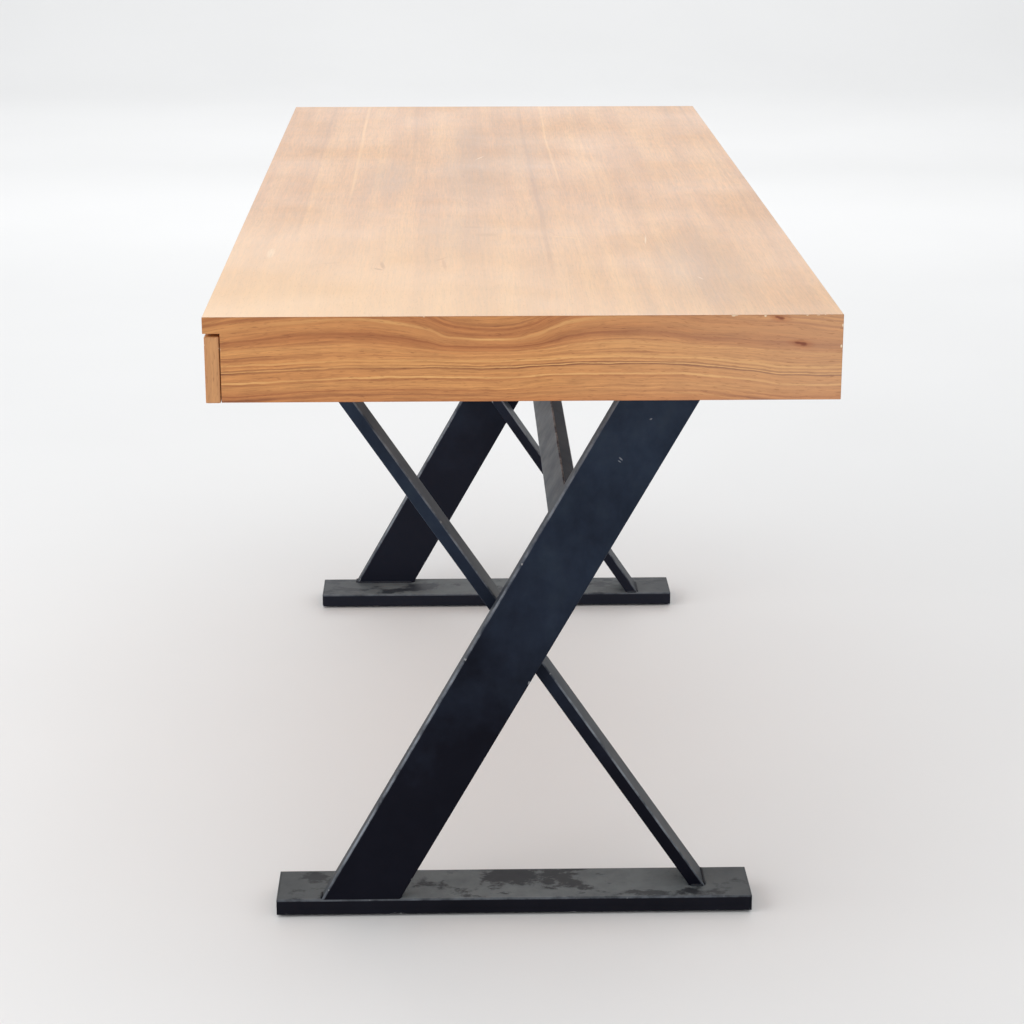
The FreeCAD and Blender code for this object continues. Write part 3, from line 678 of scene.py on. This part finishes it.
def isCorner(edge):
    return edge.calc_face_angle(0) > 1.2


def runsAlong(edge, axis):
    step = edge.verts[0].co - edge.verts[1].co
    return abs(step[axis]) > 0.98 * step.length


def pickNew(made, kind):
    return [item for item in made["geom"] if isinstance(item, kind)]


def addShape(host, shape, shift=(0, 0, 0)):
    # pours one shape into another, so that several solids make one piece
    bmesh.ops.translate(shape, vec=shift, verts=shape.verts)
    carrier = bpy.data.meshes.new("carrier")
    shape.to_mesh(carrier)
    shape.free()
    host.from_mesh(carrier)
    bpy.data.meshes.remove(carrier)


def discShape(radius, tall, segments):
    disc = bmesh.new()
    bmesh.ops.create_circle(disc, cap_ends=True, radius=radius, segments=segments)
    made = bmesh.ops.extrude_face_region(disc, geom=disc.faces[:])
    bmesh.ops.translate(disc, vec=(0, 0, tall), verts=pickNew(made, bmesh.types.BMVert))
    bmesh.ops.recalc_face_normals(disc, faces=disc.faces)
    return disc


def mergedCopy(node):
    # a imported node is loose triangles, so its shape is read from a copy with the doubles merged
    shape = bmesh.new()
    shape.from_mesh(nodes[node].data)
    bmesh.ops.remove_doubles(shape, verts=shape.verts, dist=1e-6)
    return shape


def solidBoxes(node):
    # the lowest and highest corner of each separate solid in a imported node
    shape = mergedCopy(node)
    seen, found = set(), []
    for vert in shape.verts:
        if vert in seen:
            continue
        group, queue = [], [vert]
        seen.add(vert)
        while queue:
            here = queue.pop()
            group.append(here.co.copy())
            for edge in here.link_edges:
                other = edge.other_vert(here)
                if other not in seen:
                    seen.add(other)
                    queue.append(other)
        found.append(tuple(Vector([choose(co[axis] for co in group) for axis in range(3)])
                           for choose in (min, max)))
    shape.free()
    return found


sharpAngle = math.radians(38)


def finishPiece(shape, name, body, looks, replaced=(), pick=None):
    # turns a shape into a visible piece; pick says which of its looks a face wears
    if pick:
        for face in shape.faces:
            face.material_index = pick(face)
    mesh = bpy.data.meshes.new(name)
    shape.to_mesh(mesh)
    shape.free()
    mesh.shade_smooth()
    mesh.set_sharp_from_angle(angle=sharpAngle)
    for look in looks:
        mesh.materials.append(look)
    piece = bpy.data.objects.new(name, mesh)
    bpy.context.scene.collection.objects.link(piece)
    even = piece.modifiers.new("evenShading", "WEIGHTED_NORMAL")
    even.keep_sharp = True
    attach(piece, body)
    if replaced:
        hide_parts(*replaced)


# the boards of the desk box
boards = {
    "thick": 0.017, "noseGap": 0.0008,
    "arris": (0.0005, 2), "drawerFrontRound": (0.001, 3),  # radius, segments
}


def topBoard():
    low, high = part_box("top_panel")
    shape = boxShape(low, high)
    for vert in shape.verts:  # mitred ends
        if vert.co.z < high.z - 0.001:
            vert.co.x -= math.copysign(boards["thick"], vert.co.x)
    rounded(shape, shape.edges, *boards["arris"])
    finishPiece(shape, "topBoard", "desk", [topVeneer, lengthBand, underVeneer], ["top_panel"],
                lambda face: 0 if face.normal.z > 0.7 else 2 if face.normal.z < -0.9 else 1)


def endBoard(side, sign):
    # a board with a nose at its upper front corner, over the drawer front, and a mitre under the top board
    node = f"{side}_end_panel"
    low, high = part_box(node)
    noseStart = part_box(f"{side}_drawer_front")[1].y + boards["noseGap"]
    shape = boxShape((low.x, noseStart, low.z), high)
    cutAt = high.z - boards["thick"]
    bmesh.ops.bisect_plane(shape, geom=shape.verts[:] + shape.edges[:] + shape.faces[:],
                           plane_co=(0, 0, cutAt), plane_no=(0, 0, 1), dist=1e-6)
    nose = [face for face in shape.faces if face.normal.y < -0.9 and face.calc_center_median().z > cutAt]
    grown = bmesh.ops.extrude_face_region(shape, geom=nose)
    bmesh.ops.delete(shape, geom=nose, context="FACES_ONLY")
    bmesh.ops.translate(shape, vec=(0, low.y - noseStart, 0), verts=pickNew(grown, bmesh.types.BMVert))
    inner = low.x if sign > 0 else high.x
    for vert in shape.verts:
        if abs(vert.co.x - inner) < 1e-5 and vert.co.z > high.z - 1e-5:
            vert.co.z = cutAt
    bmesh.ops.remove_doubles(shape, verts=shape.verts, dist=1e-5)
    bmesh.ops.dissolve_degenerate(shape, edges=shape.edges, dist=1e-6)
    bmesh.ops.recalc_face_normals(shape, faces=shape.faces)
    corners = [edge for edge in shape.edges if len(edge.link_faces) == 2 and edge.calc_face_angle(0) > 0.5]
    rounded(shape, corners, *boards["arris"])
    finishPiece(shape, f"{side}EndBoard", "desk", [endVeneer, uprightBand, depthBand], [node],
                lambda face: 0 if abs(face.normal.x) > 0.6 else 1 if abs(face.normal.y) > 0.7 else 2)


def plainBoard(node, name, body, faceLook, softening):
    # the face veneer in front and behind, banding on the ends and on the long edges
    shape = boxShape(*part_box(node))
    rounded(shape, shape.edges, *softening)
    finishPiece(shape, name, body, [faceLook, uprightBand, lengthBand], [node],
                lambda face: 0 if abs(face.normal.y) > 0.7 else 1 if abs(face.normal.x) > 0.7 else 2)


topBoard()
endBoard("right", 1)
endBoard("left", -1)
plainBoard("back_panel", "backBoard", "desk", backVeneer, boards["arris"])
drawers = ("left", "centre", "right")
for drawer in drawers:
    plainBoard(f"{drawer}_drawer_front", f"{drawer}DrawerFront", f"{drawer}_drawer", frontVeneer,
               boards["drawerFrontRound"])
print("boards cut and banded")


# the two X frames and the stretcher between them
frameTube = {
    "round": 0.0025, "narrowRound": 0.002, "segments": 4, "plateEdge": 0.0003,
    "wideEnd": 0.09185, "narrowEnd": 0.01815,  # how far the legs' slanting ends reach along the foot
    "beadRound": 0.0021, "beadStep": 0.0024, "beadSink": 0.0006,
    "beadShy": {"outer": 0.003, "wide": 0.004, "narrow": 0.002},  # how far the beads stop short
}


def tubeShape(low, high, along, radius, lean=0.0):
    # a tube between two corners; lean moves its top end along Y
    shape = boxShape(low, high)
    middle = (low[2] + high[2]) / 2
    for vert in shape.verts:
        if vert.co.z > middle:
            vert.co.y += lean
    long = [edge for edge in shape.edges if abs((edge.verts[0].co - edge.verts[1].co)[along]) > 0.3]
    rounded(shape, long, radius, frameTube["segments"])
    return shape


def xFrame(side):
    tube = frameTube
    for part, name, look in (("foot", "Foot", scuffedSteel), ("top_rail", "TopRail", blackSteel)):
        node = f"{side}_{part}"
        shape = tubeShape(*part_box(node), 1, tube["round"])
        finishPiece(shape, f"{side}{name}", "desk", [look], [node])
    caps = bmesh.new()
    node = f"{side}_tube_end_plates"
    low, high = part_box(node)
    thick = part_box(f"{side}_foot")[0].y - low.y
    for capped in ("foot", "top_rail"):
        bottom, top = (corner.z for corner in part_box(f"{side}_{capped}"))
        for start in (low.y, high.y - thick):
            plate = boxShape((low.x, start, bottom), (high.x, start + thick, top))
            rounded(plate, [edge for edge in plate.edges if runsAlong(edge, 1)], tube["round"], 3)
            edges = [edge for edge in plate.edges if not runsAlong(edge, 1) and isCorner(edge)]
            rounded(plate, edges, tube["plateEdge"], 1)
            addShape(caps, plate)
    finishPiece(caps, f"{side}TubeEndPlates", "desk", [scuffedSteel], [node])
    node = f"{side}_wide_leg"
    low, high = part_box(node)
    end = tube["wideEnd"]
    shape = tubeShape(low, (high.x, low.y + end, high.z), 2, tube["round"], high.y - low.y - end)
    finishPiece(shape, f"{side}WideLeg", "desk", [blackSteel], [node])
    node = f"{side}_narrow_leg"
    low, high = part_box(node)
    end = tube["narrowEnd"]
    shape = tubeShape((low.x, high.y - end, low.z), high, 2, tube["narrowRound"], low.y + end - high.y)
    finishPiece(shape, f"{side}NarrowLeg", "desk", [blackSteel], [node])


for side in ("right", "left"):
    xFrame(side)
print("frames welded up")


def rippledRun(host, start, end, radius, pitch, dip=0.8, tip=0.55, sides=8):
    # a round run of ripples between two points: a weld bead, or a screw thread
    start, end = Vector(start), Vector(end)
    run = end - start
    steps = max(2, round(run.length / pitch))
    bead = bmesh.new()
    bmesh.ops.create_circle(bead, cap_ends=True, radius=radius * tip, segments=sides)
    ring = bead.edges[:]
    for step in range(1, steps + 1):
        made = bmesh.ops.extrude_edge_only(bead, edges=ring)
        verts = pickNew(made, bmesh.types.BMVert)
        ring = [edge for edge in pickNew(made, bmesh.types.BMEdge)
                if all(vert in verts for vert in edge.verts)]
        bmesh.ops.translate(bead, vec=(0, 0, run.length / steps), verts=verts)
        middle = sum((vert.co for vert in verts), Vector()) / len(verts)
        wanted = radius * (tip if step == steps else 1.0 if step % 2 else dip)
        grow = wanted / (verts[0].co - middle).length
        bmesh.ops.scale(bead, vec=(grow, grow, 1), space=Matrix.Translation(-middle), verts=verts)
    bmesh.ops.contextual_create(bead, geom=ring)
    bmesh.ops.recalc_face_normals(bead, faces=bead.faces)
    turn = run.to_track_quat("Z", "Y").to_matrix()
    bmesh.ops.rotate(bead, cent=(0, 0, 0), matrix=turn, verts=bead.verts)
    addShape(host, bead, start)


def weldFrame(side, sign):
    # beads where the legs meet the foot and the top rail, inside the flush outer face
    beads = bmesh.new()
    radius, pitch, sink = frameTube["beadRound"], frameTube["beadStep"], frameTube["beadSink"]
    low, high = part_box(f"{side}_wide_leg")
    inner = low.x if sign > 0 else high.x
    shy = frameTube["beadShy"]
    outer = (high.x if sign > 0 else low.x) - sign * shy["outer"]
    end, gap = frameTube["wideEnd"], shy["wide"]
    for level, front in ((low.z + sink, low.y), (high.z - sink, high.y - end)):
        rippledRun(beads, (inner, front + gap, level), (inner, front + end - gap, level), radius, pitch)
        for y in (front, front + end):
            rippledRun(beads, (inner + sign * shy["narrow"], y, level), (outer, y, level), radius, pitch)
    low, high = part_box(f"{side}_narrow_leg")
    end, gap = frameTube["narrowEnd"], shy["narrow"]
    for level, front in ((low.z + sink, high.y - end), (high.z - sink, low.y)):
        for y in (front, front + end):
            rippledRun(beads, (low.x + gap, y, level), (high.x - gap, y, level), radius, pitch)
        for x in (low.x, high.x):
            rippledRun(beads, (x, front + gap, level), (x, front + end - gap, level), radius, pitch)
    finishPiece(beads, f"{side}WeldBeads", "desk", [blackSteel])


# the stretcher and its plates lean like the wide legs they are bolted to
stretcherParts = {
    "lean": -29.43,  # degrees
    "tube": {"halfThick": 0.010, "halfTall": 0.020, "round": 0.002, "segments": 4},
    "plate": {"halfThick": 0.022, "halfTall": 0.048, "round": 0.006, "segments": 5, "rim": 0.0004},
}


def leaningPiece(node, name, part, look):
    low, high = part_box(node)
    size = stretcherParts[part]
    thick, tall = size["halfThick"], size["halfTall"]
    shape = boxShape((low.x, -thick, -tall), (high.x, thick, tall))
    rounded(shape, [edge for edge in shape.edges if runsAlong(edge, 0)], size["round"], size["segments"])
    if "rim" in size:
        rims = [edge for edge in shape.edges if not runsAlong(edge, 0) and isCorner(edge)]
        rounded(shape, rims, size["rim"], 1)
    lean = Matrix.Rotation(math.radians(stretcherParts["lean"]), 3, "X")
    bmesh.ops.rotate(shape, cent=(0, 0, 0), matrix=lean, verts=shape.verts)
    bmesh.ops.translate(shape, vec=(0, (low.y + high.y) / 2, (low.z + high.z) / 2), verts=shape.verts)
    finishPiece(shape, name, "desk", [look], [node])


fixings = {
    "bolt": {"head": 0.0055, "tall": 0.0032, "shank": 0.0029},
    "screw": {"head": 0.004, "tall": 0.002, "shank": 0.0019},
    "threadPitch": 0.0010, "threadSink": 0.0004,
    # the bolts' sockets and domes, as parts of the head's radius and height; each ring of the dome
    # is this much wider than the one before, and lower
    "socket": 0.42, "socketDepth": 0.6, "crown": 0.62,
    "dome": ((1.32, 0.10), (1.14, 0.22), (1.07, 0.30), (1.0, 0.37)),
}


def buttonHead(radius, height):
    # a domed head looking along +Z with a hexagon socket, its seat at z = 0
    socket, depth = fixings["socket"], fixings["socketDepth"]
    head = bmesh.new()
    bmesh.ops.create_circle(head, cap_ends=True, radius=radius * socket, segments=6)
    bmesh.ops.translate(head, vec=(0, 0, height * (1 - depth)), verts=head.verts)
    made = bmesh.ops.extrude_edge_only(head, edges=head.edges[:])
    bmesh.ops.translate(head, vec=(0, 0, height * depth), verts=pickNew(made, bmesh.types.BMVert))
    lip = [edge for edge in pickNew(made, bmesh.types.BMEdge) if edge.is_boundary]
    crown = radius * fixings["crown"]
    outer = bmesh.ops.create_circle(head, cap_ends=False, radius=crown, segments=24)["verts"]
    bmesh.ops.translate(head, vec=(0, 0, height * 0.99), verts=outer)
    bmesh.ops.bridge_loops(head, edges=lip + [edge for edge in head.edges if edge.is_wire])
    for scale, drop in fixings["dome"]:
        rim = [edge for edge in head.edges if edge.is_boundary]
        made = bmesh.ops.extrude_edge_only(head, edges=rim)
        verts = pickNew(made, bmesh.types.BMVert)
        bmesh.ops.scale(head, vec=(scale, scale, 1), verts=verts)
        bmesh.ops.translate(head, vec=(0, 0, -drop * height), verts=verts)
    bmesh.ops.contextual_create(head, geom=[edge for edge in head.edges if edge.is_boundary])
    bmesh.ops.recalc_face_normals(head, faces=head.faces)
    return head


def crossHead(radius, height):
    # a domed head looking along +Z with a cross recess, its seat at z = 0
    head = bmesh.new()
    bmesh.ops.create_grid(head, x_segments=9, y_segments=9, size=radius)
    arm = radius / 9 * 1.1
    cross = [face for face in head.faces
             if min(abs(face.calc_center_median().x), abs(face.calc_center_median().y)) < arm
             and face.calc_center_median().length < radius * 0.6]
    for vert in head.verts:
        far = max(abs(vert.co.x), abs(vert.co.y))
        if far > radius * 0.5:
            vert.co *= far / vert.co.length
        vert.co.z = height * (1 - 0.6 * (vert.co.length / radius) ** 2)
    made = bmesh.ops.extrude_face_region(head, geom=cross)
    bmesh.ops.delete(head, geom=cross, context="FACES")
    bmesh.ops.translate(head, vec=(0, 0, -height * 0.7), verts=pickNew(made, bmesh.types.BMVert))
    made = bmesh.ops.extrude_edge_only(head, edges=[edge for edge in head.edges if edge.is_boundary])
    for vert in pickNew(made, bmesh.types.BMVert):
        vert.co.z = 0
    bmesh.ops.contextual_create(head, geom=[edge for edge in head.edges if edge.is_boundary])
    bmesh.ops.recalc_face_normals(head, faces=head.faces)
    return head


def placeFixings(node, name, body, look, facing, kind):
    # a head and its threaded shank for each packed fixing; facing is the way the head looks
    size = fixings[kind]
    piece = bmesh.new()
    way = Vector(facing)
    turn = way.to_track_quat("Z", "Y").to_matrix()
    for low, high in solidBoxes(node):
        middle = (low + high) / 2
        reach = abs((high - low).dot(way)) / 2
        seat = middle + way * (reach - size["tall"])
        head = (buttonHead if kind == "bolt" else crossHead)(size["head"], size["tall"])
        bmesh.ops.rotate(head, cent=(0, 0, 0), matrix=turn, verts=head.verts)
        addShape(piece, head, seat)
        rippledRun(piece, seat + way * fixings["threadSink"], middle - way * reach, size["shank"],
                   fixings["threadPitch"], dip=0.86, tip=0.8, sides=10)
    finishPiece(piece, name, body, [look], [node])


glideShape = {"inset": 0.62, "hollow": 0.5, "round": 0.3}  # a part of the radius, two of the height


def footGlides(side):
    # round glides with a hollow sole
    glides = bmesh.new()
    for low, high in solidBoxes(f"{side}_glides"):
        radius, tall = (high.x - low.x) / 2, high.z - low.z
        disc = discShape(radius, tall, 40)
        sole = [face for face in disc.faces if face.normal.z < -0.9]
        bmesh.ops.inset_region(disc, faces=sole, thickness=radius * glideShape["inset"], use_even_offset=True)
        bmesh.ops.translate(disc, vec=(0, 0, tall * glideShape["hollow"]), verts=sole[0].verts)
        worn = [edge for edge in disc.edges if isCorner(edge) and edge.verts[0].co.z < 1e-5]
        rounded(disc, worn, tall * glideShape["round"], 3)
        addShape(glides, disc, ((low.x + high.x) / 2, (low.y + high.y) / 2, low.z))
    finishPiece(glides, f"{side}Glides", "desk", [gliderPlastic], [f"{side}_glides"])


leaningPiece("stretcher", "stretcherTube", "tube", slopeSheenSteel)
for side, sign in (("right", 1), ("left", -1)):
    weldFrame(side, sign)
    leaningPiece(f"{side}_stretcher_plate", f"{side}StretcherPlate", "plate", blackSteel)
    footGlides(side)
    placeFixings(f"{side}_frame_bolts", f"{side}FrameBolts", "desk", boltSteel, (0, 0, -1), "bolt")
    placeFixings(f"{side}_stretcher_bolts", f"{side}StretcherBolts", "desk", boltSteel, (-sign, 0, 0), "bolt")
print("stretcher bolted, beads and glides in")

drawerBox = {
    "topRound": 0.0012,
    "bumper": 0.005, "bumperThick": 0.0006, "bumperInset": 0.03, "bumperUp": 0.008,
}


def drawerPart(drawer, part):
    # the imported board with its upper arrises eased
    node = f"{drawer}_drawer_{part}"
    shape = mergedCopy(node)
    bmesh.ops.dissolve_limit(shape, angle_limit=math.radians(1), verts=shape.verts, edges=shape.edges)
    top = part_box(node)[1].z
    upper = [edge for edge in shape.edges if all(abs(vert.co.z - top) < 1e-5 for vert in edge.verts)
             and isCorner(edge) and edge.calc_length() > 0.1]
    rounded(shape, upper, drawerBox["topRound"], 3)
    name = drawer + "Box" + "".join(word.capitalize() for word in part.split("_"))
    finishPiece(shape, name, f"{drawer}_drawer", [drawerPly], [node])


def bumperDots(drawer):
    # two soft dots behind the drawer front, near its lower corners
    low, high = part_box(f"{drawer}_drawer_front")
    dots = bmesh.new()
    thick, inset = drawerBox["bumperThick"], drawerBox["bumperInset"]
    backward = Matrix.Rotation(math.radians(-90), 3, "X")
    for x in (low.x + inset, high.x - inset):
        dot = discShape(drawerBox["bumper"], thick, 28)
        raised = [edge for edge in dot.edges
                  if isCorner(edge) and min(vert.co.z for vert in edge.verts) > thick / 2]
        rounded(dot, raised, thick * 0.5, 2)
        bmesh.ops.rotate(dot, cent=(0, 0, 0), matrix=backward, verts=dot.verts)
        addShape(dots, dot, (x, high.y, low.z + drawerBox["bumperUp"]))
    finishPiece(dots, f"{drawer}Bumpers", f"{drawer}_drawer", [softBumper])


for drawer in drawers:
    for part in ("inner_front", "left_side", "right_side", "back"):
        drawerPart(drawer, part)
    placeFixings(f"{drawer}_drawer_front_screws", f"{drawer}FrontScrews", f"{drawer}_drawer", screwSteel,
                 (0, 1, 0), "screw")
    bumperDots(drawer)
print("drawer boxes assembled")


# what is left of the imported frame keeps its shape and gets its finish
def dress(node, look):
    nodes[node].data.materials.clear()
    nodes[node].data.materials.append(look)


for name in nodes:
    if name in ("bottom_panel", "right_divider", "left_divider"):
        dress(name, underVeneer)
    elif "rails" in name:
        dress(name, zincSteel)
    elif name.endswith("drawer_bottom"):
        dress(name, drawerPly)
print("packed parts dressed")


def layFloor(look):
    # a floor that sweeps up behind the desk
    material, tree, shader = freshMaterial("paleFloor")
    pale = look["floorColor"]
    stops = [(0.3, pale), (0.7, tuple(part * 1.02 for part in pale))]
    feed(tree, shader.inputs["Base Color"], ramp(tree, evenNoise(tree, 1.5, 3), stops))
    shader.inputs["Roughness"].default_value = 0.75
    size = look["floor"]
    sweep = bmesh.new()
    ends = [sweep.verts.new((size["front"], y, 0)) for y in (-size["halfWidth"], size["halfWidth"])]
    run = bmesh.ops.extrude_edge_only(sweep, edges=[sweep.edges.new(ends)])
    tips = pickNew(run, bmesh.types.BMVert)
    rear = [edge for edge in pickNew(run, bmesh.types.BMEdge) if all(vert in tips for vert in edge.verts)]
    bmesh.ops.translate(sweep, vec=(-size["run"], 0, 0), verts=tips)
    centre = (size["front"] - size["run"], 0, size["sweepRadius"])
    bmesh.ops.spin(sweep, geom=rear, cent=centre, axis=(0, 1, 0), angle=math.radians(size["sweepTurn"]),
                   steps=16, use_merge=False)
    data = bpy.data.meshes.new("floor")
    sweep.to_mesh(data)
    sweep.free()
    data.shade_smooth()
    data.materials.append(material)
    floor = bpy.data.objects.new("floor", data)
    bpy.context.scene.collection.objects.link(floor)


layFloor(stageLook)
print("floor laid")
